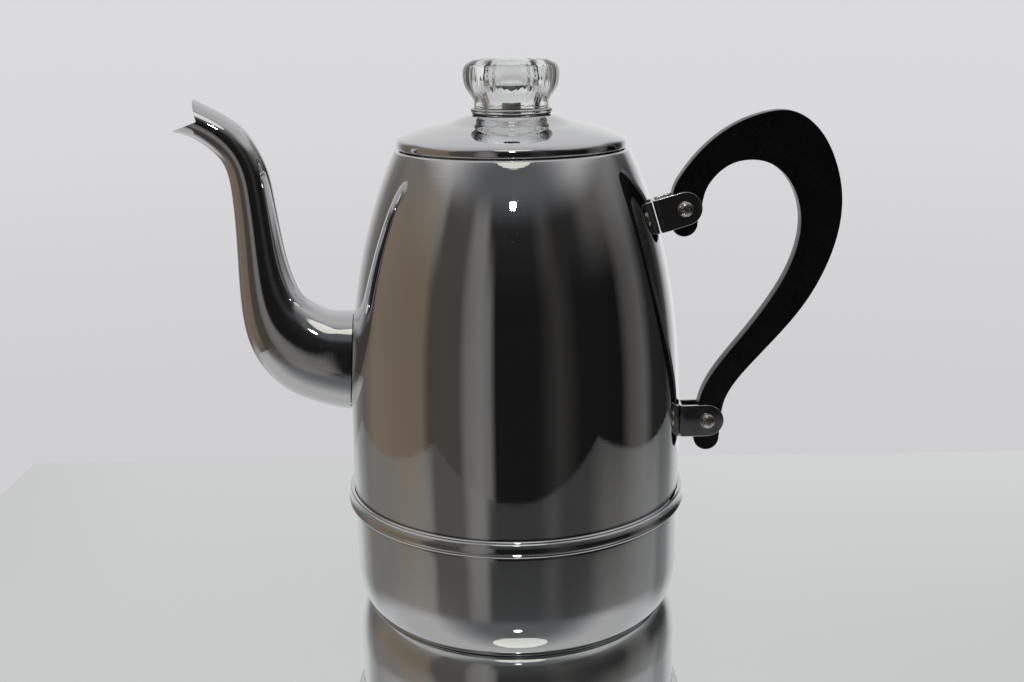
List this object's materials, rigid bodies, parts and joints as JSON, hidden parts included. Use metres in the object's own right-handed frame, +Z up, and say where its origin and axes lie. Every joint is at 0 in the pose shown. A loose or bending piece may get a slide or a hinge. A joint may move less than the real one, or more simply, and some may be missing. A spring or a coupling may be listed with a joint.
{
  "type": "coffee percolator",
  "caption": "Stovetop pump percolator: bright metal pot with gooseneck spout, black board handle, lift-off lid with glass knob, and a pump, strainer basket and cover inside",
  "frame": {"origin": "centre of the flat underside of the base, on the surface that the pot stands on", "axes": "+Z up along the pot's axis, +X towards the handle, so the spout points along -X and the screw heads face -Y"},
  "size_m": [0.28, 0.1488, 0.2359],
  "materials": {
    "body_shell": "mirror polish",
    "base_pan": "mirror polish, outside of the base worn finer than it was pressed",
    "seam_band": "mirror polish",
    "spout": "mirror polish",
    "upper_bracket": "mirror polish",
    "lower_bracket": "mirror polish",
    "handle": "satin black moulded board",
    "upper_screw": "plated, dulled",
    "lower_screw": "plated, dulled",
    "upper_nut": "plated, dulled",
    "lower_nut": "plated, dulled",
    "pump_stem": "drawn, satin",
    "pump_foot": "spun, satin",
    "valve_plate": "stamped, satin",
    "stem_stop": "turned, satin",
    "valve_washer": "stamped, satin",
    "basket": "spun and perforated, satin",
    "basket_tube": "drawn, satin",
    "basket_cover": "spun and perforated, satin",
    "lid_shell": "mirror polish",
    "lid_skirt": "polish dulled by use",
    "knob_washer": "matt black",
    "glass_knob": "clear pressed glass with soft flutes"
  },
  "bodies": {
    "pot": {"body_shell": "body_shell", "base_pan": "base_pan", "seam_band": "seam_band", "spout": "spout", "upper_bracket": "upper_bracket", "lower_bracket": "lower_bracket", "handle": "handle", "upper_screw": "upper_screw", "lower_screw": "lower_screw", "upper_nut": "upper_nut", "lower_nut": "lower_nut"},
    "pump": {"pump_stem": "pump_stem", "pump_foot": "pump_foot", "valve_plate": "valve_plate", "stem_stop": "stem_stop"},
    "valve": {"valve_washer": "valve_washer"},
    "strainer": {"basket": "basket", "basket_tube": "basket_tube"},
    "cover": {"basket_cover": "basket_cover"},
    "lid": {"lid_shell": "lid_shell", "lid_skirt": "lid_skirt"},
    "knob": {"knob_washer": "knob_washer", "glass_knob": "glass_knob"}
  },
  "joints": [
    {"name": "pump_lift", "type": "slide", "parent": "pot", "child": "pump", "axis": [0, 0, 1], "range_m": [0, 0.205]},
    {"name": "valve_play", "type": "slide", "parent": "pump", "child": "valve", "axis": [0, 0, 1], "range_m": [0, 0.0015]},
    {"name": "basket_lift", "type": "slide", "parent": "pump", "child": "strainer", "axis": [0, 0, 1], "range_m": [0, 0.095]},
    {"name": "cover_lift", "type": "slide", "parent": "strainer", "child": "cover", "axis": [0, 0, 1], "range_m": [0, 0.045]},
    {"name": "lid_lift", "type": "slide", "parent": "cover", "child": "lid", "axis": [0, 0, 1], "range_m": [0, 0.05]},
    {"name": "knob_twist", "type": "hinge", "parent": "lid", "child": "knob", "pos_m": [0, 0, 0.2143], "axis": [0, 0, 1], "range_deg": [0, 90]}
  ]
}
